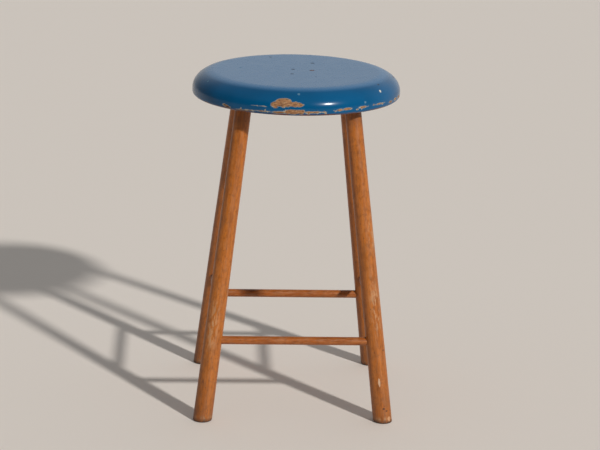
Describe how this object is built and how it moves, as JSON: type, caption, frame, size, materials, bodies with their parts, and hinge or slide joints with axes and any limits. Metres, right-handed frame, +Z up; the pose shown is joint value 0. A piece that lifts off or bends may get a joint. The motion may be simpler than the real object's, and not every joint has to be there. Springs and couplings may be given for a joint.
{
  "type": "round wooden stool",
  "caption": "Backless round-topped wooden stool: thick painted seat with a soft rolled edge on splayed, tapered round legs tied by round stretchers.",
  "frame": {"origin": "on the floor, under the middle of the round seat", "axes": "+Z up through the middle of the seat; -Y is the front, +X the right, and the legs stand on the diagonals"},
  "size_m": [0.35, 0.35, 0.57],
  "materials": {
    "seat_paint": "glossy blue oil paint over beech, chipped to the wood round the edge",
    "leg_beech": "satin amber varnish, rubbed pale in places, dirty at the feet",
    "stretcher_beech": "satin amber varnish",
    "bare_beech": "unfinished"
  },
  "bodies": {
    "root": {"seat_board_front": "seat_paint", "seat_board_middle": "seat_paint", "seat_board_back": "seat_paint", "seat_dowel_front_left": "bare_beech", "seat_dowel_front_middle": "bare_beech", "seat_dowel_front_right": "bare_beech", "seat_dowel_back_left": "bare_beech", "seat_dowel_back_middle": "bare_beech", "seat_dowel_back_right": "bare_beech", "leg_front_left": "leg_beech", "leg_front_right": "leg_beech", "leg_back_left": "leg_beech", "leg_back_right": "leg_beech", "stretcher_front": "stretcher_beech", "stretcher_back": "stretcher_beech", "stretcher_left": "stretcher_beech", "stretcher_right": "stretcher_beech"}
  },
  "joints": []
}
